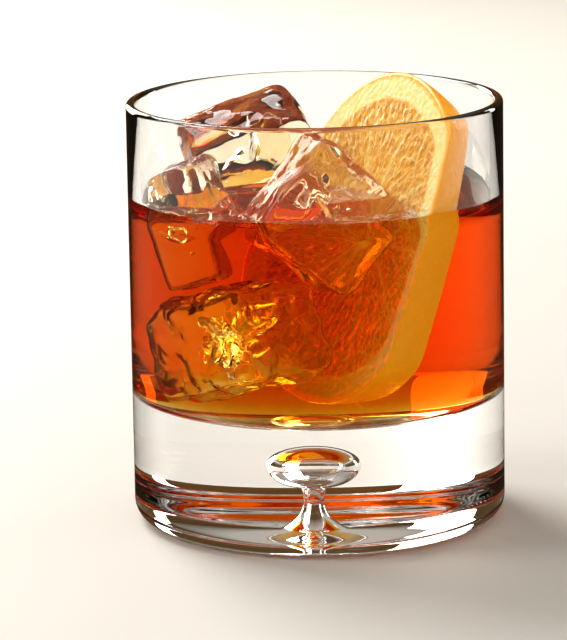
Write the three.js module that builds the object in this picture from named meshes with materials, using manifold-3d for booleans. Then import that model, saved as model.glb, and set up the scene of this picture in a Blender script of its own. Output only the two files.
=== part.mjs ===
// A bourbon on the rocks in a bubble-base tumbler: the glass, the drink, three ice cubes that
// stand out of it and a wheel slice of orange. Millimetres, +Z up. The origin is the centre of
// the foot, and the drinker's side is -Y.
import * as THREE from "three";
import { mergeVertices } from "three/addons/utils/BufferGeometryUtils.js";
import Module from "manifold-3d";

const wasm = await Module();
wasm.setup();

// Driving dimensions of the glass.
const HEIGHT = 96;
const OUTER_RADIUS = 42.5;
const WALL_AT_RIM = 2.2;
const WALL_AT_FLOOR = 3.1;
const BASE_THICKNESS = 28;
const FLOOR_FILLET = 6.5;
const FOOT_CORNER = 4.5;
const SEGMENTS = 56;

// The air bubble in the base: a mushroom cap on a neck that opens out at the foot.
const CAP_TOP = 19;
const CAP_RADIUS = 7.2;
const CAP_WIDEST_AT = 14.6;
const CAP_UNDERSIDE_FROM = 9.6;
const NECK_RADIUS = 1.6;
const NECK_AT = 6.4;
const MOUTH_RADIUS = 5.2;
const BUBBLE_OFF_CENTRE = -0.9;

// The drink.
const LEVEL = 73.6;
const MENISCUS_RISE = 1.2;
const MENISCUS_WIDTH = 3;
const CLEARANCE = 0.3;

// The orange slice: cut from a ball of fruit, off its middle, so its back face is smaller.
const FRUIT_RADIUS = 38.8;
const SLICE_NEAR = 8;
const SLICE_THICKNESS = 9;
const SLICE_EDGE = 0.7;
const SLICE_CENTRE = [9.6, -7, 66];
const SLICE_TO_WALL = 0.4;
const SQUEEZE_SOFTNESS = 1;
const SLICE_TURN = THREE.MathUtils.degToRad(63.2);
const SLICE_LEAN = THREE.MathUtils.degToRad(20);
const SLICE_SEGMENTS = 56;
const SLICE_RIM = Math.sqrt(FRUIT_RADIUS ** 2 - SLICE_NEAR ** 2);

// The ice cubes: full sizes along their own axes, centre, the directions of their length and of
// their front face, and a phase for the unevenness that melting leaves.
const ICE_CUBES = {
  ice_front: {
    size: [27, 25.5, 15],
    at: [1.9, -25.1, 73.8],
    length: [0.72, 0.22, -0.66],
    front: [0.36, -0.93, 0.06],
    phase: 0.4,
  },
  ice_back: {
    size: [29.5, 23, 22.5],
    at: [-15.7, 12.2, 80.2],
    length: [0.92, 0.2, 0.29],
    front: [0.3, -0.91, -0.285],
    phase: 2.1,
  },
  ice_left: {
    size: [13.5, 27, 15],
    at: [-26.6, -11.6, 69.4],
    length: [0.93, -0.1, 0.32],
    front: [-0.3, -0.94, 0.1],
    phase: 4.0,
  },
};
const ICE_SQUARENESS = 9;
const ICE_DENT = 0.04;
const ICE_WAVE = 0.35;
const ICE_DIVISIONS = 7;

const lerp = THREE.MathUtils.lerp;

function arc(centreR, centreZ, radius, fromDeg, toDeg, steps) {
  return Array.from({ length: steps + 1 }, (_, i) => {
    const a = THREE.MathUtils.degToRad(lerp(fromDeg, toDeg, i / steps));
    return new THREE.Vector2(centreR + radius * Math.cos(a), centreZ + radius * Math.sin(a));
  });
}

// Turns a profile of (radius, height) points round +Z.
function turned(profile, segments) {
  return new THREE.LatheGeometry(profile, segments).rotateX(Math.PI / 2);
}

function innerRadiusAt(z) {
  const share = (z - BASE_THICKNESS) / (HEIGHT - BASE_THICKNESS);
  return OUTER_RADIUS - lerp(WALL_AT_FLOOR, WALL_AT_RIM, share);
}

function manifoldOf(geometry) {
  const bare = geometry.clone();
  bare.deleteAttribute("normal");
  bare.deleteAttribute("uv");
  const merged = mergeVertices(bare, 1e-3);
  return new wasm.Manifold(
    new wasm.Mesh({
      numProp: 3,
      vertProperties: merged.attributes.position.array,
      triVerts: new Uint32Array(merged.index.array),
    }),
  );
}

function geometryOf(solid) {
  const mesh = solid.getMesh();
  const geometry = new THREE.BufferGeometry();
  geometry.setAttribute("position", new THREE.BufferAttribute(mesh.vertProperties, 3));
  geometry.setIndex(new THREE.BufferAttribute(mesh.triVerts, 1));
  geometry.computeVertexNormals();
  return geometry;
}

// The bubble's outline from its mouth at the foot up to the top of its cap on the axis.
function bubbleOutline() {
  const flare = Array.from({ length: 5 }, (_, i) => {
    const t = i / 5;
    const r = lerp(NECK_RADIUS, MOUTH_RADIUS, (1 - t) ** 2.4);
    return new THREE.Vector2(r, NECK_AT * t);
  });
  const neck = new THREE.Vector2(NECK_RADIUS, NECK_AT);
  const underside = Array.from({ length: 6 }, (_, i) => {
    const a = (Math.PI / 2) * (i / 6);
    const r = lerp(NECK_RADIUS + 0.3, CAP_RADIUS, Math.sin(a));
    return new THREE.Vector2(r, lerp(CAP_WIDEST_AT, CAP_UNDERSIDE_FROM, Math.cos(a)));
  });
  const cap = Array.from({ length: 7 }, (_, i) => {
    const a = (Math.PI / 2) * (i / 6);
    return new THREE.Vector2(
      i === 6 ? 0 : CAP_RADIUS * Math.cos(a),
      CAP_WIDEST_AT + (CAP_TOP - CAP_WIDEST_AT) * Math.sin(a),
    );
  });
  return [...flare, neck, ...underside, ...cap];
}

function glassGeometry() {
  const filletR = innerRadiusAt(BASE_THICKNESS + FLOOR_FILLET) - FLOOR_FILLET;
  const rimRadius = WALL_AT_RIM / 2;
  const profile = [
    ...bubbleOutline().reverse(),
    ...arc(OUTER_RADIUS - FOOT_CORNER, FOOT_CORNER, FOOT_CORNER, -90, 0, 5),
    ...arc(OUTER_RADIUS - rimRadius, HEIGHT - rimRadius, rimRadius, 0, 180, 6),
    ...arc(filletR, BASE_THICKNESS + FLOOR_FILLET, FLOOR_FILLET, 0, -90, 5),
    new THREE.Vector2(0, BASE_THICKNESS),
  ];
  const geometry = turned(profile, SEGMENTS);
  const place = geometry.attributes.position;
  for (let i = 0; i < place.count; i++) {
    const inBubble =
      Math.hypot(place.getX(i), place.getY(i)) <= CAP_RADIUS + 0.1 && place.getZ(i) <= CAP_TOP;
    if (inBubble) place.setX(i, place.getX(i) + BUBBLE_OFF_CENTRE);
  }
  return geometry;
}

// Presses the slice's outline in where it would pass through the cup's wall.
function squeeze(geometry) {
  const toCup = slicePlacement();
  const wall = innerRadiusAt(BASE_THICKNESS) - SLICE_TO_WALL;
  const place = geometry.attributes.position;
  for (let i = 0; i < place.count; i++) {
    const local = new THREE.Vector3().fromBufferAttribute(place, i);
    const reach = Math.hypot(local.x, local.y);
    if (reach < 1) continue;
    const from = new THREE.Vector3(0, 0, local.z).applyMatrix4(toCup);
    const way = local.applyMatrix4(toCup).sub(from).divideScalar(reach);
    const a = way.x ** 2 + way.y ** 2;
    const b = from.x * way.x + from.y * way.y;
    const c = from.x ** 2 + from.y ** 2 - wall ** 2;
    const room = (-b + Math.sqrt(b ** 2 - a * c)) / a;
    const fitted =
      -SQUEEZE_SOFTNESS *
      Math.log(Math.exp(-SLICE_RIM / SQUEEZE_SOFTNESS) + Math.exp(-room / SQUEEZE_SOFTNESS));
    const share = fitted / SLICE_RIM;
    place.setXY(i, place.getX(i) * share, place.getY(i) * share);
  }
  return geometry;
}

// The slice lies on its own XY plane with its near face towards +Z.
function sliceGeometry(grow) {
  const near = SLICE_RIM + grow;
  const far = Math.sqrt(FRUIT_RADIUS ** 2 - (SLICE_NEAR + SLICE_THICKNESS) ** 2) + grow;
  const top = grow;
  const bottom = -SLICE_THICKNESS - grow;
  const rind = Array.from({ length: 4 }, (_, i) => {
    const depth = SLICE_NEAR + lerp(SLICE_EDGE, SLICE_THICKNESS - SLICE_EDGE, i / 3);
    return new THREE.Vector2(Math.sqrt(FRUIT_RADIUS ** 2 - depth ** 2) + grow, SLICE_NEAR - depth);
  }).reverse();
  const profile = [
    new THREE.Vector2(0, bottom),
    new THREE.Vector2(far - SLICE_EDGE, bottom),
    ...rind,
    new THREE.Vector2(near - SLICE_EDGE, top),
    new THREE.Vector2(0, top),
  ];
  return squeeze(turned(profile, SLICE_SEGMENTS));
}

// Axes of the slice: across (towards the drinker), up its face, and out of its near face.
function slicePlacement() {
  const out = new THREE.Vector3(
    -Math.sin(SLICE_TURN) * Math.cos(SLICE_LEAN),
    -Math.cos(SLICE_TURN) * Math.cos(SLICE_LEAN),
    Math.sin(SLICE_LEAN),
  );
  const across = new THREE.Vector3(Math.cos(SLICE_TURN), -Math.sin(SLICE_TURN), 0);
  const up = new THREE.Vector3().crossVectors(out, across);
  return new THREE.Matrix4()
    .makeBasis(across, up, out)
    .setPosition(new THREE.Vector3(...SLICE_CENTRE));
}

// A melted cube: a box pulled towards a rounded form, with hollowed faces and slow waves.
function iceGeometry(cube, grow) {
  const geometry = new THREE.BoxGeometry(2, 2, 2, ICE_DIVISIONS, ICE_DIVISIONS, ICE_DIVISIONS);
  const half = cube.size.map((s) => s / 2);
  const place = geometry.attributes.position;
  const p = new THREE.Vector3();
  for (let i = 0; i < place.count; i++) {
    p.fromBufferAttribute(place, i);
    const c = [p.x, p.y, p.z].map((v) => Math.tan((v * Math.PI) / 4.6) / Math.tan(Math.PI / 4.6));
    const norm = c.reduce((sum, v) => sum + Math.abs(v) ** ICE_SQUARENESS, 0) ** (1 / ICE_SQUARENESS);
    const unit = c.map((v) => v / norm);
    const facing = Math.max(...unit.map(Math.abs)) ** 4;
    const middle = unit.reduce((product, v) => product * Math.cos(v * 1.3), 1);
    const dent = 1 - ICE_DENT * facing * middle;
    const [x, y, z] = unit.map((v, k) => v * half[k] * dent);
    const wave =
      ICE_WAVE * Math.sin(0.21 * x + cube.phase) * Math.cos(0.26 * y - 2 * cube.phase) +
      ICE_WAVE * Math.sin(0.33 * z + 0.19 * y + 3 * cube.phase);
    const scale = 1 + (wave + grow) / Math.hypot(x, y, z);
    place.setXYZ(i, x * scale, y * scale, z * scale);
  }
  geometry.deleteAttribute("uv");
  geometry.deleteAttribute("normal");
  return mergeVertices(geometry, 1e-4);
}

function icePlacement(cube) {
  const front = new THREE.Vector3(...cube.front).normalize();
  const length = new THREE.Vector3(...cube.length);
  length.addScaledVector(front, -length.dot(front)).normalize();
  const width = new THREE.Vector3().crossVectors(front, length);
  return new THREE.Matrix4()
    .makeBasis(length, width, front)
    .setPosition(new THREE.Vector3(...cube.at));
}

// The drink fills the cup up to its level, and is cut round the slice and the ice cubes.
function drinkGeometry() {
  const bottom = BASE_THICKNESS + CLEARANCE;
  const fillet = FLOOR_FILLET;
  const filletR = innerRadiusAt(BASE_THICKNESS + FLOOR_FILLET) - FLOOR_FILLET - CLEARANCE;
  const edge = innerRadiusAt(LEVEL) - CLEARANCE;
  const meniscus = Array.from({ length: 4 }, (_, i) => {
    const t = i / 3;
    return new THREE.Vector2(edge - MENISCUS_WIDTH * t, LEVEL + MENISCUS_RISE * (1 - t) ** 2);
  });
  const profile = [
    new THREE.Vector2(0, bottom),
    ...arc(filletR, bottom + fillet, fillet, -90, 0, 5),
    ...meniscus,
    new THREE.Vector2(0, LEVEL),
  ];
  let solid = manifoldOf(turned(profile, SEGMENTS));
  const slice = sliceGeometry(CLEARANCE).applyMatrix4(slicePlacement());
  solid = solid.subtract(manifoldOf(slice));
  for (const cube of Object.values(ICE_CUBES)) {
    const ice = iceGeometry(cube, CLEARANCE).applyMatrix4(icePlacement(cube));
    solid = solid.subtract(manifoldOf(ice));
  }
  const bodies = solid.decompose().sort((a, b) => b.volume() - a.volume());
  return geometryOf(bodies[0]);
}

function clear(color, roughness, opacity) {
  return new THREE.MeshStandardMaterial({
    color,
    roughness,
    metalness: 0,
    transparent: true,
    opacity,
  });
}

const MATERIALS = {
  glass: clear(0xe9ecea, 0.03, 0.35),
  bourbon: clear(0xb3470c, 0.04, 0.8),
  ice: clear(0xeef2f2, 0.06, 0.4),
  orange: new THREE.MeshStandardMaterial({ color: 0xf09a1a, roughness: 0.45, metalness: 0 }),
};

function named(name, geometry, material) {
  const mesh = new THREE.Mesh(geometry, material);
  mesh.name = name;
  return mesh;
}

const tumbler = new THREE.Group();
tumbler.add(named("glass", glassGeometry(), MATERIALS.glass));
tumbler.add(named("bourbon", drinkGeometry(), MATERIALS.bourbon));

const slice = named("orange_slice", sliceGeometry(0), MATERIALS.orange);
slice.applyMatrix4(slicePlacement());
tumbler.add(slice);

for (const [name, cube] of Object.entries(ICE_CUBES)) {
  const ice = named(name, iceGeometry(cube, 0), MATERIALS.ice);
  ice.applyMatrix4(icePlacement(cube));
  tumbler.add(ice);
}

export default tumbler;
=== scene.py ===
"""Looks of a bourbon on the rocks: the tumbler, the drink, four ice cubes and an orange slice."""

import math
import random

import bmesh
import bpy
import numpy as np
from mathutils import Matrix, Vector, noise
from mathutils.bvhtree import BVHTree


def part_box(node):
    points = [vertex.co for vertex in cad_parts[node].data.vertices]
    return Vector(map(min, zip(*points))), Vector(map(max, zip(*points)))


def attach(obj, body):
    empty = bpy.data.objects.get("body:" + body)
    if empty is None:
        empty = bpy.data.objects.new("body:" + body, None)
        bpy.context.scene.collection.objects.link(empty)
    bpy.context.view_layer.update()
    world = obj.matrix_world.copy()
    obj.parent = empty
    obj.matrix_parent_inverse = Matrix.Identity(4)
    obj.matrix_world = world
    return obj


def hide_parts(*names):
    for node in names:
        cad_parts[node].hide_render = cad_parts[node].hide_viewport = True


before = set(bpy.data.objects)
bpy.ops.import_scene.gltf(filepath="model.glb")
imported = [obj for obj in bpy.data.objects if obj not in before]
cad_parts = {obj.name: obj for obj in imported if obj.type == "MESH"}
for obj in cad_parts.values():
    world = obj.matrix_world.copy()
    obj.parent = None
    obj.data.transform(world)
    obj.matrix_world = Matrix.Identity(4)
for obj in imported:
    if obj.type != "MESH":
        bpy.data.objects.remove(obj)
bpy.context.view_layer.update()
MM = 0.001

# The glass, as in the CAD part.
_, GLASS_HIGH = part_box("glass")
HEIGHT = GLASS_HIGH.z / MM
OUTER_RADIUS = GLASS_HIGH.x / MM
WALL_AT_RIM = 2.2
WALL_AT_FLOOR = 3.1
BASE_THICKNESS = 28
FLOOR_FILLET = 6.5
FOOT_CORNER = 4.5
CAP_TOP = 19
CAP_RADIUS = 7.2
CAP_WIDEST_AT = 14.6
CAP_UNDERSIDE_FROM = 9.6
BUBBLE_OFF_CENTRE = -0.9
NECK_RADIUS = 1.6
NECK_AT = 6.4
MOUTH_RADIUS = 5.2
GLASS_SEGMENTS = 224

# The drink.
LEVEL = 73.6
MENISCUS_RISE = 1.2
MENISCUS_WIDTH = 1.3
INTO_WALL = 0.15
ICE_OVERLAP = 0.15
TOP_RINGS = 74
FEWEST_FACES = 12
CLIMB = 1.0
CLIMB_WIDTH = 1.1
CLIMB_REACH = 0.012
HIGHEST_RISE = 1.6
SWELL = 0.10

# The orange slice, as in the CAD part.
FRUIT_RADIUS = 38.8
SLICE_NEAR = 8
SLICE_THICKNESS = 9
SLICE_CENTRE = (9.6, -7, 66)
SLICE_TURN = math.radians(63.2)
SLICE_LEAN = math.radians(20)
SLICE_RIM = math.sqrt(FRUIT_RADIUS ** 2 - SLICE_NEAR ** 2)
SLICE_TO_WALL = 0.4
SQUEEZE_SOFTNESS = 1
SLICE_SEGMENTS = 420
FRUIT_SEGMENTS = 10
CORE_RADIUS = 2.6
PULP_RADIUS = 0.82
NEAR_RINGS = 110
FAR_RINGS = 80
RIND_RINGS = 30
FACE_EDGE = 0.6
RIND_CORNER = 0.35
RIND_UNEVEN = 0.008
PORE_SPACING = 1.6
PORE_DEPTH = 0.0035
MEMBRANE_WIDTH = 0.5
PULP_EDGE = 0.35
SAC_HEIGHT = 0.30
LONG_SAC_HEIGHT = 0.22
SAC_LOW = 0.42
FACE_DROP = 0.05
FIBRE_HEIGHT = 0.10

# The ice: full size, centre, directions of its length and front face, phase of its waves, depth of
# its fine melting, and what it holds. The left cube stands 0.6 mm further from the wall than in CAD.
ICE_CUBES = {
    "ice_front": dict(size=(27, 25.5, 15), at=(1.9, -25.1, 73.8), length=(0.72, 0.22, -0.66),
                      front=(0.36, -0.93, 0.06), phase=0.4, rough=1.2,
                     cracks=5, bubbles=10),
    "ice_back": dict(size=(29.5, 23, 22.5), at=(-15.7, 12.2, 80.2), length=(0.92, 0.2, 0.29),
                     front=(0.3, -0.91, -0.285), phase=2.1, rough=0.9,
                     cracks=3, bubbles=10),
    "ice_left": dict(size=(13.5, 27, 15), at=(-26.1, -11.3, 69.4), length=(0.93, -0.1, 0.32),
                     front=(-0.3, -0.94, 0.1), phase=4.0, rough=1.2,
                     cracks=2, bubbles=8),
    "ice_sunk": dict(size=(28, 26, 23), at=(-15.8, -15.3, 44.7), length=(0.52, -0.80, 0.31),
                     front=(-0.24, 0.21, 0.95), phase=5.3, rough=3.4,
                     cracks=14, bubbles=24),
}
ICE_SQUARENESS = 9
ICE_DENT = 0.04
ICE_WAVE = 0.35
ICE_DIVISIONS = 60
ICE_GRID_BEND = 4.6
ICE_INSET = 0.25
# Length in mm, shift and share of each layer of the fine melting.
ICE_MELTING = ((8.5, 1, 0.75), (4.2, -1, 0.34), (1.9, 2, 0.07))

# What the ice holds; the spreads and the crack's size are shares of the cube's half size.
BUBBLE_LEAST = 0.12
BUBBLE_MORE = 0.5
BUBBLE_SPREAD = (0.28, 0.28, 0.34)
BUBBLE_LIMIT = 0.72
BUBBLE_STRETCH = 1.2
CRACK_LEAST = 0.28
CRACK_MORE = 0.22
CRACK_SPREAD = 0.38
CRACK_THICKNESS = 0.06
CRACK_RAGGED = 0.35
CRACK_BEND = 1.4

# Surfaces.
GLASS_IOR = 1.5
GLASS_TINT = ((0.985, 0.99, 0.985), (1, 1, 1))
ICE_IOR = 1.27
# painted light: the clear ice is tinted amber to stand in for the drink's golden light seen through it
ICE_AMBER_LIGHT_TINT = ((1.0, 0.87, 0.60), (1.0, 0.94, 0.78))
DRINK_IOR = 1.39
DRINK_TINT = ((0.99, 0.985, 0.97), (1, 1, 1))
DRINK_COLOUR = (0.972, 0.76, 0.0, 1)
DRINK_DENSITY = 200
NO_REFLECTION = (0.0, 0.0, 0.0, 1)
PULP_COLOURS = [(0.25, (0.50, 0.17, 0.001)), (0.5, (0.78, 0.31, 0.003)), (0.72, (1.0, 0.52, 0.02))]
PITH_COLOURS = [(0.3, (1.0, 0.72, 0.20)), (0.7, (1.0, 0.82, 0.36))]
RIND_COLOURS = [(0.3, (0.94, 0.27, 0.002)), (0.7, (1.0, 0.37, 0.005))]
# painted highlight: a pale gold laid along the juice sacs' edges on the cut face
SAC_HIGHLIGHT_COLOUR = (1.0, 0.80, 0.30)
RIND_GLOW = (1.0, 0.40, 0.01)
# Depths and widths in the orange's colours, in metres.
RIND_BAND = 0.002
PITH_BAND = 0.008
CORE_BAND = 0.004
MEMBRANE_BAND = 0.0011
RAGGED_EDGE = 0.0016
SOAK = 0.35
SOAK_COLOURS = (1.0, 0.7, 0.35)
SOAK_SCALE = 0.0009
OIL_COAT = 0.12
OIL_COAT_ROUGHNESS = 0.15
FLESH_GLOW_DIMMED = 0.55
GLOW_STRENGTH = 0.5
FLOOR_COLOURS = [(0.3, (0.70, 0.685, 0.66)), (0.7, (0.73, 0.715, 0.69))]

# The stage, in metres.
FLOOR_HALF = 6
FLOOR_HEIGHT = -0.0002
MIDDLE = (0, 0, 0.05)
# Name, place, target, size, watts and colour of each light.
LIGHTS = (
    ("key", (-0.45, 0.55, 0.80), (0, 0.08, 0.03), (0.5, 0.5), 9, (1.0, 0.97, 0.93)),
    ("side", (-0.80, -0.12, 0.62), (0, 0, 0.07), (0.34, 0.34), 2.6, (1.0, 0.97, 0.92)),
    ("fill", (0.6, -0.55, 0.8), MIDDLE, (0.7, 0.7), 0.8, (1.0, 0.98, 0.96)),
    ("back_left", (-0.52, 0.95, 0.30), MIDDLE, (0.50, 0.66), 9.0, (1.0, 0.92, 0.78)),
    ("back_right", (0.75, 0.75, 0.22), MIDDLE, (0.16, 0.5), 1.6, (1, 1, 1)),
)
# The room's colour by height, from the horizon up.
ROOM_COLOURS = [(0.0, (0.05, 0.035, 0.02)), (0.02, (0.20, 0.11, 0.035)),
                (0.34, (0.13, 0.07, 0.022)), (0.62, (0.88, 0.81, 0.70)), (1.0, (1.0, 0.94, 0.84))]
ROOM_STRENGTH = 0.55
# Light passes through many clear faces before it leaves the glass.
CLEAR_BOUNCES = 24
CAMERA_AT = (0, -0.850, 0.2295)
CAMERA_PITCH = math.radians(12.25)
CAMERA_YAW = math.radians(-0.52)
CAMERA_ROLL = math.radians(-0.93)
SENSOR = 36
LENS = 214.59375


# ------------------------------------------------------------------ mesh helpers

def make_object(name, verts, faces, smooth=True):
    mesh = bpy.data.meshes.new(name)
    mesh.from_pydata([tuple(v) for v in verts], [], faces)
    mesh.validate()
    mesh.polygons.foreach_set("use_smooth", [smooth] * len(mesh.polygons))
    mesh.update()
    obj = bpy.data.objects.new(name, mesh)
    bpy.context.scene.collection.objects.link(obj)
    return obj


def turned(profile, segments):
    """A profile of (radius, height), from axis to axis, turned round +Z. Returns verts, faces."""
    verts = []
    rings = []
    for r, z in profile:
        if r < 1e-9:
            rings.append([len(verts)])
            verts.append((0.0, 0.0, z))
            continue
        start = len(verts)
        for i in range(segments):
            a = 2 * math.pi * i / segments
            verts.append((r * math.cos(a), r * math.sin(a), z))
        rings.append(list(range(start, start + segments)))
    faces = []
    for low, high in zip(rings, rings[1:]):
        for i in range(segments):
            j = (i + 1) % segments
            if len(low) == 1:
                faces.append((low[0], high[j], high[i]))
            elif len(high) == 1:
                faces.append((low[i], low[j], high[0]))
            else:
                faces.append((low[i], low[j], high[j], high[i]))
    return verts, faces


def arc(cr, cz, radius, start, end, steps):
    out = []
    for i in range(steps + 1):
        a = math.radians(start + (end - start) * i / steps)
        out.append((cr + radius * math.cos(a), cz + radius * math.sin(a)))
    return out


def lerp(a, b, t):
    return a + (b - a) * t


def placement(length, front, at):
    f = Vector(front).normalized()
    x = Vector(length)
    x = (x - f * x.dot(f)).normalized()
    y = f.cross(x)
    m = Matrix((x, y, f)).transposed().to_4x4()
    m.translation = Vector(at) * MM
    return m


def scaled(verts):
    return [(x * MM, y * MM, z * MM) for x, y, z in verts]


# ------------------------------------------------------------------ glass

def inner_radius(z):
    share = (z - BASE_THICKNESS) / (HEIGHT - BASE_THICKNESS)
    return OUTER_RADIUS - lerp(WALL_AT_FLOOR, WALL_AT_RIM, share)


def bubble_outline():
    points = []
    for i in range(16):
        t = i / 16
        points.append((lerp(NECK_RADIUS, MOUTH_RADIUS, (1 - t) ** 2.4), NECK_AT * t))
    for i in range(6):
        t = i / 6
        points.append((NECK_RADIUS + 0.3 * t ** 2, lerp(NECK_AT, CAP_UNDERSIDE_FROM, t)))
    for i in range(16):
        a = math.pi / 2 * i / 16
        points.append((lerp(NECK_RADIUS + 0.3, CAP_RADIUS, math.sin(a)),
                       lerp(CAP_WIDEST_AT, CAP_UNDERSIDE_FROM, math.cos(a))))
    for i in range(19):
        a = math.pi / 2 * i / 18
        points.append((0 if i == 18 else CAP_RADIUS * math.cos(a),
                       CAP_WIDEST_AT + (CAP_TOP - CAP_WIDEST_AT) * math.sin(a)))
    return points


def make_glass():
    fillet_r = inner_radius(BASE_THICKNESS + FLOOR_FILLET) - FLOOR_FILLET
    rim = WALL_AT_RIM / 2
    profile = bubble_outline()[::-1]
    profile += arc(OUTER_RADIUS - FOOT_CORNER, FOOT_CORNER, FOOT_CORNER, -90, 0, 14)
    profile += arc(OUTER_RADIUS - rim, HEIGHT - rim, rim, 0, 180, 16)
    wet_line = LEVEL + MENISCUS_RISE
    profile.append((inner_radius(wet_line), wet_line))
    profile += arc(fillet_r, BASE_THICKNESS + FLOOR_FILLET, FLOOR_FILLET, 0, -90, 14)
    profile.append((0, BASE_THICKNESS))
    verts, faces = turned(profile, GLASS_SEGMENTS)
    placed = []
    for x, y, z in verts:
        in_bubble = math.hypot(x, y) <= CAP_RADIUS + 0.1 and z <= CAP_TOP
        placed.append((x + BUBBLE_OFF_CENTRE if in_bubble else x, y, z))
    obj = make_object("glass_tumbler", scaled(placed), faces)
    for polygon in obj.data.polygons:
        heights = [placed[v][2] for v in polygon.vertices]
        reach = max(math.hypot(placed[v][0], placed[v][1]) for v in polygon.vertices)
        wet = min(heights) > BASE_THICKNESS - 0.1 and max(heights) < wet_line + 0.1
        polygon.material_index = 1 if wet and reach < OUTER_RADIUS - 1 else 0
    return obj


# ------------------------------------------------------------------ ice

def lattice_box(divisions):
    """The surface of a cube from -1 to 1 as a welded grid: verts, quads facing out."""
    index = {}
    verts = []
    faces = []

    def point(key):
        if key not in index:
            index[key] = len(verts)
            verts.append(tuple(2 * k / divisions - 1 for k in key))
        return index[key]

    for axis in range(3):
        u, v = (axis + 1) % 3, (axis + 2) % 3
        for side in (0, divisions):
            for i in range(divisions):
                for j in range(divisions):
                    quad = []
                    for di, dj in ((0, 0), (1, 0), (1, 1), (0, 1)):
                        key = [0, 0, 0]
                        key[axis] = side
                        key[u] = i + di
                        key[v] = j + dj
                        quad.append(point(tuple(key)))
                    faces.append(tuple(quad) if side else tuple(reversed(quad)))
    return np.array(verts), faces


BOX_POINTS, BOX_FACES = lattice_box(ICE_DIVISIONS)


def ice_points(cube, grow):
    """Points of a melted cube in its own frame, in mm, as in the CAD part plus finer melting."""
    half = np.array(cube["size"]) / 2
    c = np.tan(BOX_POINTS * math.pi / ICE_GRID_BEND) / math.tan(math.pi / ICE_GRID_BEND)
    norm = (np.abs(c) ** ICE_SQUARENESS).sum(1, keepdims=True) ** (1 / ICE_SQUARENESS)
    unit = c / norm
    facing = np.abs(unit).max(1) ** 4
    dent = 1 - ICE_DENT * facing * np.cos(unit * 1.3).prod(1)
    p = unit * half * dent[:, None]
    phase = cube["phase"]
    wave = ICE_WAVE * np.sin(0.21 * p[:, 0] + phase) * np.cos(0.26 * p[:, 1] - 2 * phase)
    wave += ICE_WAVE * np.sin(0.33 * p[:, 2] + 0.19 * p[:, 1] + 3 * phase)
    shift = Vector((13.7 * phase, 3.1 * phase, -7.9 * phase))
    fine = np.zeros(len(p))
    for i, q in enumerate(p):
        v = Vector(q)
        melted = sum(share * noise.noise(v / length + shift * k) for length, k, share in ICE_MELTING)
        fine[i] = cube["rough"] * melted - ICE_INSET
    scale = 1 + (wave + fine + grow) / np.linalg.norm(p, axis=1)
    return p * scale[:, None]


def unit_sphere(rings, segments):
    verts, faces = turned([(math.sin(math.pi * i / rings) if 0 < i < rings else 0,
                            -math.cos(math.pi * i / rings)) for i in range(rings + 1)], segments)
    return np.array(verts), faces


def ice_inclusions(cube, rng):
    """Air trapped in the ice: small bubbles and thin cracks, as shells that face inwards."""
    half = np.array(cube["size"]) / 2
    verts = []
    faces = []

    def add(points, quads):
        start = len(verts)
        verts.extend(points)
        faces.extend(tuple(start + k for k in reversed(f)) for f in quads)

    ball, ball_faces = unit_sphere(8, 12)
    for _ in range(cube["bubbles"]):
        r = BUBBLE_LEAST + BUBBLE_MORE * rng.random() ** 3
        spread = np.array([rng.gauss(0, s) for s in BUBBLE_SPREAD])
        centre = half * np.clip(spread, -BUBBLE_LIMIT, BUBBLE_LIMIT)
        stretch = np.array([1, 1, 1 + BUBBLE_STRETCH * rng.random()])
        add(ball * r * stretch + centre, ball_faces)
    disc, disc_faces = unit_sphere(14, 40)
    for _ in range(cube["cracks"]):
        size = half.min() * (CRACK_LEAST + CRACK_MORE * rng.random())
        tilt = Matrix.Rotation(rng.uniform(0.5, 1.4), 3, "X")
        tilt = tilt @ Matrix.Rotation(rng.uniform(0, 3.1), 3, "Z")
        tilt = Matrix.Rotation(rng.uniform(0, 3.1), 3, "Z") @ tilt
        centre = half * np.array([rng.uniform(-CRACK_SPREAD, CRACK_SPREAD) for _ in range(3)])
        seed = rng.uniform(0, 50)
        points = []
        for x, y, z in disc:
            edge = 1 + CRACK_RAGGED * noise.noise(Vector((x * 1.6, y * 1.6, seed)))
            bend = CRACK_BEND * noise.noise(Vector((x * 1.3, y * 1.3, seed + 9)))
            q = tilt @ Vector((x * size * edge, y * size * edge, z * CRACK_THICKNESS + bend))
            points.append(np.array(q) + centre)
        add(points, disc_faces)
    return verts, faces


def make_ice(name, cube):
    rng = random.Random(int(cube["phase"] * 100))
    solid = ice_points(cube, 0)
    verts = [tuple(p) for p in solid]
    faces = list(BOX_FACES)
    inner, inner_faces = ice_inclusions(cube, rng)
    start = len(verts)
    verts += [tuple(p) for p in inner]
    faces += [tuple(start + k for k in f) for f in inner_faces]
    obj = make_object(name, scaled(verts), faces)
    obj.matrix_world = placement(cube["length"], cube["front"], cube["at"])
    return obj


def make_cutter(cube):
    verts = [tuple(p) for p in ice_points(cube, -ICE_OVERLAP)]
    obj = make_object("cutter", scaled(verts), list(BOX_FACES))
    obj.matrix_world = placement(cube["length"], cube["front"], cube["at"])
    return obj


# ------------------------------------------------------------------ orange slice

def slice_matrix():
    out = Vector((-math.sin(SLICE_TURN) * math.cos(SLICE_LEAN),
                  -math.cos(SLICE_TURN) * math.cos(SLICE_LEAN), math.sin(SLICE_LEAN)))
    across = Vector((math.cos(SLICE_TURN), -math.sin(SLICE_TURN), 0))
    up = out.cross(across)
    m = Matrix((across, up, out)).transposed().to_4x4()
    m.translation = Vector(SLICE_CENTRE) * MM
    return m


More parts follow.
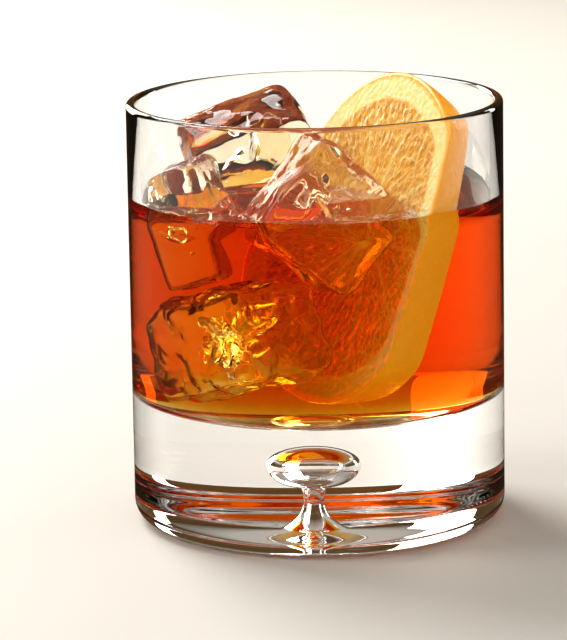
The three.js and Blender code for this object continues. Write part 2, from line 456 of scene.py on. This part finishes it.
def squeeze(points, placed):
    """Presses the slice's outline in where it would pass through the cup's wall."""
    wall = inner_radius(BASE_THICKNESS) - SLICE_TO_WALL
    centre = Vector(SLICE_CENTRE)
    turn = placed.to_3x3()
    out = []
    for x, y, z in points:
        reach = math.hypot(x, y)
        if reach < 1:
            out.append((x, y, z))
            continue
        start = turn @ Vector((0, 0, z)) + centre
        way = turn @ Vector((x / reach, y / reach, 0))
        a = way.x ** 2 + way.y ** 2
        b = start.x * way.x + start.y * way.y
        c = start.x ** 2 + start.y ** 2 - wall ** 2
        room = (-b + math.sqrt(b * b - a * c)) / a
        soft = SQUEEZE_SOFTNESS
        fitted = -soft * math.log(math.exp(-SLICE_RIM / soft) + math.exp(-room / soft))
        share = fitted / SLICE_RIM
        out.append((x * share, y * share, z))
    return out


def flesh_relief(x, y, r, edge):
    """Height of the cut face in mm: full juice sacs, fine membranes, a soft fibrous pith."""
    a = math.atan2(y, x)
    share = r / edge
    wobble = 0.06 * noise.noise(Vector((x * 0.08, y * 0.08, 3)))
    position = (a / (2 * math.pi) + wobble) * FRUIT_SEGMENTS
    away = abs(position - round(position)) * 2 * math.pi / FRUIT_SEGMENTS * r
    membrane = math.exp(-(away / MEMBRANE_WIDTH) ** 2)
    pulp = 1 / (1 + math.exp((share - PULP_RADIUS) * edge / PULP_EDGE))
    pulp *= 1 / (1 + math.exp((CORE_RADIUS - r) / PULP_EDGE))
    d, _ = noise.voronoi(Vector((x * 0.62 + 0.2 * math.cos(9 * a), y * 0.62, 0.5)))
    sac = SAC_HEIGHT * (1 - min(1, d[0]) ** 2)
    long_sac, _ = noise.voronoi(Vector((a * 14, r * 0.24, 2.5)))
    sac += LONG_SAC_HEIGHT * (1 - min(1, long_sac[0]) ** 2)
    fibre = FIBRE_HEIGHT * noise.noise(Vector((x * 0.9, y * 0.9, 7)))
    return pulp * (1 - membrane) * (sac - SAC_LOW) - FACE_DROP + fibre * (1 - 0.6 * pulp)


def make_slice():
    near = SLICE_RIM
    far = math.sqrt(FRUIT_RADIUS ** 2 - (SLICE_NEAR + SLICE_THICKNESS) ** 2)
    near_rings = [(near - FACE_EDGE) * i / NEAR_RINGS for i in range(NEAR_RINGS + 1)]
    far_rings = [(far - FACE_EDGE) * i / FAR_RINGS for i in range(FAR_RINGS + 1)]
    profile = [(r, -SLICE_THICKNESS, "far") for r in far_rings]
    for i in range(RIND_RINGS + 1):
        depth = SLICE_NEAR + lerp(SLICE_THICKNESS - RIND_CORNER, RIND_CORNER, i / RIND_RINGS)
        profile.append((math.sqrt(FRUIT_RADIUS ** 2 - depth ** 2), SLICE_NEAR - depth, "rind"))
    profile += [(r, 0, "near") for r in reversed(near_rings)]
    verts, faces = turned([(r, z) for r, z, _ in profile], SLICE_SEGMENTS)
    kinds = []
    for r, _, kind in profile:
        kinds += [kind] * (1 if r < 1e-9 else SLICE_SEGMENTS)
    out = []
    for (x, y, z), kind in zip(verts, kinds):
        r = math.hypot(x, y)
        a = math.atan2(y, x)
        round_the_edge = Vector((math.cos(a) * 1.4, math.sin(a) * 1.4, 2))
        uneven = 1 - RIND_UNEVEN + RIND_UNEVEN * noise.noise(round_the_edge)
        if kind == "near":
            z += flesh_relief(x, y, r, near)
        elif kind == "far":
            z -= flesh_relief(x, y, r, far)
        else:
            d, _ = noise.voronoi(Vector((a * FRUIT_RADIUS, z, 1.5)) / PORE_SPACING)
            uneven -= PORE_DEPTH * max(0, 1 - d[0] * 2.2)
        out.append((x * uneven, y * uneven, z))
    placed = slice_matrix()
    obj = make_object("orange_wheel", scaled(squeeze(out, placed)), faces)
    fruit = obj.data.attributes.new("fruit", "FLOAT_VECTOR", "POINT")
    fruit.data.foreach_set("vector", np.array(scaled(verts), dtype=np.float32).ravel())
    obj.matrix_world = placed
    return obj


# ------------------------------------------------------------------ drink

def bvh_of(objects):
    verts = []
    polys = []
    for obj in objects:
        start = len(verts)
        verts += [obj.matrix_world @ v.co for v in obj.data.vertices]
        polys += [tuple(start + k for k in p.vertices) for p in obj.data.polygons]
    return BVHTree.FromPolygons(verts, polys)


def surface_height(x, y, tree):
    """Level plus the curve the drink draws up the wall, the ice and the slice, in mm."""
    r = math.hypot(x, y)
    from_wall = inner_radius(LEVEL) - r
    rise = MENISCUS_RISE * math.exp(-max(0, from_wall) / MENISCUS_WIDTH)
    at = Vector((x, y, LEVEL)) * MM
    near, _, _, distance = tree.find_nearest(at, CLIMB_REACH)
    if near is not None:
        rise += CLIMB * math.exp(-distance / MM / CLIMB_WIDTH)
    swell = SWELL * noise.noise(Vector((x * 0.07, y * 0.07, 4)))
    return LEVEL + min(rise, HIGHEST_RISE) + swell


def drop_scraps(mesh):
    """Takes out the stray slivers without volume that the cuts leave on the drink."""
    bm = bmesh.new()
    bm.from_mesh(mesh)
    seen = set()
    scraps = []
    for start in bm.faces:
        if start in seen:
            continue
        seen.add(start)
        part = [start]
        for face in part:
            for edge in face.edges:
                for other in edge.link_faces:
                    if other not in seen:
                        seen.add(other)
                        part.append(other)
        if len(part) < FEWEST_FACES:
            scraps += part
    bmesh.ops.delete(bm, geom=scraps, context="FACES")
    bm.to_mesh(mesh)
    bm.free()


def make_drink(standing, cutters):
    tree = bvh_of(standing)
    bottom = BASE_THICKNESS - INTO_WALL
    fillet_r = inner_radius(BASE_THICKNESS + FLOOR_FILLET) - FLOOR_FILLET
    profile = [(0, bottom)]
    profile += arc(fillet_r, BASE_THICKNESS + FLOOR_FILLET, FLOOR_FILLET + INTO_WALL, -90, 0, 14)
    top_radius = inner_radius(LEVEL) + INTO_WALL
    for i in range(1, 12):
        z = lerp(BASE_THICKNESS + FLOOR_FILLET, LEVEL, i / 12)
        profile.append((inner_radius(z) + INTO_WALL, z))
    first_top = len(profile)
    for i in range(TOP_RINGS + 1):
        t = i / TOP_RINGS
        profile.append((top_radius * (1 - t) if i < TOP_RINGS else 0, LEVEL))
    verts, faces = turned(profile, GLASS_SEGMENTS)
    counts = [1 if r < 1e-9 else GLASS_SEGMENTS for r, _ in profile]
    start = sum(counts[:first_top])
    verts = verts[:start] + [(x, y, surface_height(x, y, tree)) for x, y, _ in verts[start:]]
    obj = make_object("bourbon_drink", scaled(verts), faces)
    for cutter in cutters:
        cut = obj.modifiers.new("cut", "BOOLEAN")
        cut.operation = "DIFFERENCE"
        cut.solver = "MANIFOLD"
        cut.object = cutter
    bpy.context.view_layer.update()
    depsgraph = bpy.context.evaluated_depsgraph_get()
    mesh = bpy.data.meshes.new_from_object(obj.evaluated_get(depsgraph))
    obj.modifiers.clear()
    obj.data = mesh
    mesh.name = "bourbon_drink"
    drop_scraps(mesh)
    for cutter in cutters:
        bpy.data.objects.remove(cutter)
    return obj


# ------------------------------------------------------------------ materials

def new_material(name):
    material = bpy.data.materials.new(name)
    material.use_nodes = True
    tree = material.node_tree
    shader = tree.nodes["Principled BSDF"]
    return material, tree, shader


def node(tree, kind, **values):
    made = tree.nodes.new(kind)
    for key, value in values.items():
        setattr(made, key, value)
    return made


def noise_of(tree, coords, scale, detail=2.0):
    made = node(tree, "ShaderNodeTexNoise")
    made.inputs["Scale"].default_value = scale
    made.inputs["Detail"].default_value = detail
    tree.links.new(coords, made.inputs["Vector"])
    return made.outputs["Fac"]


def ramp(tree, fac, stops):
    made = node(tree, "ShaderNodeValToRGB")
    elements = made.color_ramp.elements
    while len(elements) < len(stops):
        elements.new(0.5)
    for element, (position, colour) in zip(elements, stops):
        element.position = position
        element.color = colour if len(colour) == 4 else (*colour, 1)
    tree.links.new(fac, made.inputs["Fac"])
    return made.outputs["Color"]


def grey(v):
    return (v, v, v, 1)


def object_coords(tree):
    return node(tree, "ShaderNodeTexCoord").outputs["Object"]


def clear_material(name, ior, tint, roughness, bump_scale, bump_distance):
    """A clear body: faint colour and gloss variation over a transmitting shader; the ice's stronger
    amber colour is painted light.
    """
    material, tree, shader = new_material(name)
    coords = object_coords(tree)
    low, high = tint
    tree.links.new(ramp(tree, noise_of(tree, coords, 45), [(0.3, low), (0.7, high)]),
                   shader.inputs["Base Color"])
    dull, shiny = roughness
    tree.links.new(ramp(tree, noise_of(tree, coords, 70, 4), [(0.35, grey(shiny)), (0.75, grey(dull))]),
                   shader.inputs["Roughness"])
    shader.inputs["Transmission Weight"].default_value = 1.0
    shader.inputs["IOR"].default_value = ior
    if bump_distance:
        bump = node(tree, "ShaderNodeBump")
        bump.inputs["Strength"].default_value = 1.0
        bump.inputs["Distance"].default_value = bump_distance
        tree.links.new(noise_of(tree, coords, bump_scale, 2), bump.inputs["Height"])
        tree.links.new(bump.outputs["Normal"], shader.inputs["Normal"])
    return material, tree, shader


def glass_material(name, wet):
    material, _, shader = clear_material(name, GLASS_IOR, GLASS_TINT,
                                         (0.012, 0.0), 60, 0.000004)
    if wet:
        # the drink lies against this face, so its own mirror reflection is taken away
        shader.inputs["Specular Tint"].default_value = NO_REFLECTION
    return material


def ice_material():
    # the ice's amber colour is painted light, standing in for the drink's golden light
    material, _, _ = clear_material("wet_ice", ICE_IOR, ICE_AMBER_LIGHT_TINT, (0.05, 0.0), 420, 0.00005)
    return material


def drink_material():
    material, tree, shader = clear_material("amber_bourbon", DRINK_IOR, DRINK_TINT,
                                            (0.004, 0.0), 30, 0)
    shader.inputs["Specular Tint"].default_value = NO_REFLECTION
    absorb = node(tree, "ShaderNodeVolumeAbsorption")
    absorb.inputs["Color"].default_value = DRINK_COLOUR
    absorb.inputs["Density"].default_value = DRINK_DENSITY
    output = tree.nodes["Material Output"]
    tree.links.new(absorb.outputs["Volume"], output.inputs["Volume"])
    return material


def math_node(tree, operation, a, b=None):
    made = node(tree, "ShaderNodeMath", operation=operation)
    for socket, value in zip(made.inputs, (a, b)):
        if value is None:
            continue
        if isinstance(value, (int, float)):
            socket.default_value = value
        else:
            tree.links.new(value, socket)
    return made.outputs["Value"]


def mix_colour(tree, fac, a, b):
    made = node(tree, "ShaderNodeMix", data_type="RGBA")
    for name, kind, value in (("Factor", "VALUE", fac), ("A", "RGBA", a), ("B", "RGBA", b)):
        socket = [s for s in made.inputs if s.name == name and s.type == kind][0]
        if isinstance(value, tuple):
            socket.default_value = value if len(value) == 4 else (*value, 1)
        elif isinstance(value, (int, float)):
            socket.default_value = value
        else:
            tree.links.new(value, socket)
    return [s for s in made.outputs if s.type == "RGBA"][0]


def orange_material():
    material, tree, shader = new_material("orange_flesh_and_rind")

    def maths(operation, a, b=None):
        return math_node(tree, operation, a, b)

    def clouds(scale, detail):
        return noise_of(tree, coords, scale, detail)

    coords = node(tree, "ShaderNodeAttribute", attribute_name="fruit").outputs["Vector"]
    split = node(tree, "ShaderNodeSeparateXYZ")
    tree.links.new(coords, split.inputs[0])
    x, y, z = split.outputs
    r = maths("SQRT", maths("ADD", maths("MULTIPLY", x, x), maths("MULTIPLY", y, y)))
    angle = maths("ARCTAN2", y, x)
    # distance inside the fruit's skin: the ball's radius less the distance from its centre
    lift = maths("SUBTRACT", z, SLICE_NEAR * MM)
    ball = maths("SQRT", maths("ADD", maths("MULTIPLY", r, r), maths("MULTIPLY", lift, lift)))
    depth = maths("SUBTRACT", FRUIT_RADIUS * MM, ball)
    rough_edge = maths("MULTIPLY", maths("SUBTRACT", clouds(260, 3), 0.5), RAGGED_EDGE)
    depth = maths("ADD", depth, rough_edge)
    polar = node(tree, "ShaderNodeCombineXYZ")
    tree.links.new(maths("MULTIPLY", angle, 9.0), polar.inputs[0])
    tree.links.new(maths("MULTIPLY", r, 220.0), polar.inputs[1])
    polar.inputs[2].default_value = 0.5
    sacs = node(tree, "ShaderNodeTexVoronoi", feature="DISTANCE_TO_EDGE")
    sacs.inputs["Scale"].default_value = 1.0
    tree.links.new(polar.outputs[0], sacs.inputs["Vector"])
    fine = node(tree, "ShaderNodeCombineXYZ")
    tree.links.new(maths("MULTIPLY", angle, 26.0), fine.inputs[0])
    tree.links.new(maths("MULTIPLY", r, 300.0), fine.inputs[1])
    streaks = noise_of(tree, fine.outputs[0], 1.4, 3)
    pulp = ramp(tree, streaks, PULP_COLOURS)
    # painted highlight: pale gold mixed in along each juice sac's edge
    sac_highlight_mask = ramp(tree, sacs.outputs["Distance"], [(0.0, grey(0.6)), (0.07, grey(0.0))])
    pulp = mix_colour(tree, sac_highlight_mask, pulp, SAC_HIGHLIGHT_COLOUR)
    pith = ramp(tree, clouds(300, 4), PITH_COLOURS)
    rind = ramp(tree, clouds(140, 4), RIND_COLOURS)
    wobble = maths("MULTIPLY", maths("SUBTRACT", clouds(80, 2), 0.5), 1.2)
    turn = maths("MULTIPLY", angle, FRUIT_SEGMENTS / (2 * math.pi))
    turn = maths("ADD", turn, maths("MULTIPLY", wobble, 0.12))
    off = maths("ABSOLUTE", maths("SUBTRACT", turn, maths("ROUND", turn)))
    across = maths("MULTIPLY", off, maths("MULTIPLY", r, 2 * math.pi / FRUIT_SEGMENTS))
    membrane = ramp(tree, maths("DIVIDE", across, MEMBRANE_BAND), [(0.2, grey(0.5)), (0.8, grey(0.0))])
    pulp = mix_colour(tree, membrane, pulp, pith)
    core = ramp(tree, maths("DIVIDE", r, CORE_BAND), [(0.55, grey(1)), (0.8, grey(0))])
    pulp = mix_colour(tree, core, pulp, pith)
    to_pith = ramp(tree, maths("DIVIDE", depth, PITH_BAND), [(0.70, grey(1)), (0.80, grey(0))])
    flesh = mix_colour(tree, to_pith, pulp, pith)
    to_rind = ramp(tree, maths("DIVIDE", depth, RIND_BAND), [(0.45, grey(1)), (0.95, grey(0))])
    colour = mix_colour(tree, to_rind, flesh, rind)
    tree.links.new(colour, shader.inputs["Base Color"])
    tree.links.new(ramp(tree, clouds(500, 3), [(0.3, grey(0.18)), (0.7, grey(0.42))]),
                   shader.inputs["Roughness"])
    shader.inputs["Subsurface Weight"].default_value = SOAK
    shader.inputs["Subsurface Radius"].default_value = SOAK_COLOURS
    shader.inputs["Subsurface Scale"].default_value = SOAK_SCALE
    shader.inputs["Coat Weight"].default_value = OIL_COAT
    shader.inputs["Coat Roughness"].default_value = OIL_COAT_ROUGHNESS
    # a faint glow stands in for light that soaks through the slice
    dim_flesh = mix_colour(tree, FLESH_GLOW_DIMMED, flesh, (0.0, 0.0, 0.0))
    glow = mix_colour(tree, to_rind, dim_flesh, RIND_GLOW)
    tree.links.new(glow, shader.inputs["Emission Color"])
    shader.inputs["Emission Strength"].default_value = GLOW_STRENGTH
    bump = node(tree, "ShaderNodeBump")
    bump.inputs["Strength"].default_value = 0.6
    bump.inputs["Distance"].default_value = 0.0003
    tree.links.new(clouds(900, 4), bump.inputs["Height"])
    tree.links.new(bump.outputs["Normal"], shader.inputs["Normal"])
    return material


# ------------------------------------------------------------------ build

glass = make_glass()
glass.data.materials.append(glass_material("clear_glass", False))
glass.data.materials.append(glass_material("wet_glass", True))
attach(glass, "root")
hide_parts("glass")

wheel = make_slice()
wheel.data.materials.append(orange_material())
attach(wheel, "root")
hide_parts("orange_slice")

ice_look = ice_material()
ice_objects = []
cutters = []
for ice_name, cube in ICE_CUBES.items():
    piece = make_ice(ice_name.replace("ice_", "ice_cube_"), cube)
    piece.data.materials.append(ice_look)
    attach(piece, "root")
    if ice_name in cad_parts:
        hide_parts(ice_name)
    ice_objects.append(piece)
    cutters.append(make_cutter(cube))

bpy.context.view_layer.update()
drink = make_drink(ice_objects[:3] + [wheel], cutters)
drink.data.materials.clear()
drink.data.materials.append(drink_material())
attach(drink, "root")
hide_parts("bourbon")


# ------------------------------------------------------------------ stage, lights and camera

def make_floor():
    corners = [(-1, -1), (1, -1), (1, 1), (-1, 1)]
    verts = [(x * FLOOR_HALF, y * FLOOR_HALF, FLOOR_HEIGHT) for x, y in corners]
    obj = make_object("floor", verts, [(0, 1, 2, 3)], smooth=False)
    material, tree, shader = new_material("pale_floor")
    coords = object_coords(tree)
    tree.links.new(ramp(tree, noise_of(tree, coords, 6, 3), FLOOR_COLOURS),
                   shader.inputs["Base Color"])
    shader.inputs["Roughness"].default_value = 0.6
    obj.data.materials.append(material)
    obj.visible_glossy = False


def area_light(name, at, target, size, energy, colour):
    data = bpy.data.lights.new(name, "AREA")
    data.shape = "RECTANGLE"
    data.size, data.size_y = size
    data.energy = energy
    data.color = colour
    obj = bpy.data.objects.new(name, data)
    bpy.context.scene.collection.objects.link(obj)
    obj.location = at
    obj.rotation_euler = (Vector(target) - Vector(at)).to_track_quat("-Z", "Y").to_euler()
    obj.visible_camera = False


def make_room():
    world = bpy.data.worlds.new("studio")
    bpy.context.scene.world = world
    world.use_nodes = True
    tree = world.node_tree
    background = tree.nodes["Background"]
    direction = tree.nodes.new("ShaderNodeTexCoord").outputs["Generated"]
    split = tree.nodes.new("ShaderNodeSeparateXYZ")
    tree.links.new(direction, split.inputs[0])
    tree.links.new(ramp(tree, split.outputs[2], ROOM_COLOURS), background.inputs["Color"])
    background.inputs["Strength"].default_value = ROOM_STRENGTH


def make_camera():
    data = bpy.data.cameras.new("camera")
    camera = bpy.data.objects.new("camera", data)
    bpy.context.scene.collection.objects.link(camera)
    bpy.context.scene.camera = camera
    level = math.cos(CAMERA_PITCH)
    forward = Vector((math.sin(CAMERA_YAW) * level, math.cos(CAMERA_YAW) * level,
                      -math.sin(CAMERA_PITCH)))
    right = Vector((math.cos(CAMERA_YAW), -math.sin(CAMERA_YAW), 0))
    up = right.cross(forward)
    rolled_right = right * math.cos(CAMERA_ROLL) + up * math.sin(CAMERA_ROLL)
    rolled_up = up * math.cos(CAMERA_ROLL) - right * math.sin(CAMERA_ROLL)
    placed = Matrix((rolled_right, rolled_up, -forward)).transposed().to_4x4()
    placed.translation = Vector(CAMERA_AT)
    camera.matrix_world = placed
    data.sensor_width = SENSOR
    data.lens = LENS
    data.clip_start = 0.01


make_floor()
for light in LIGHTS:
    area_light(*light)
make_room()
make_camera()

scene = bpy.context.scene
scene.cycles.max_bounces = CLEAR_BOUNCES
scene.cycles.transmission_bounces = CLEAR_BOUNCES
scene.cycles.transparent_max_bounces = CLEAR_BOUNCES
scene.cycles.glossy_bounces = 8
scene.cycles.diffuse_bounces = 4
scene.cycles.sample_clamp_indirect = 8
scene.view_settings.view_transform = "Standard"
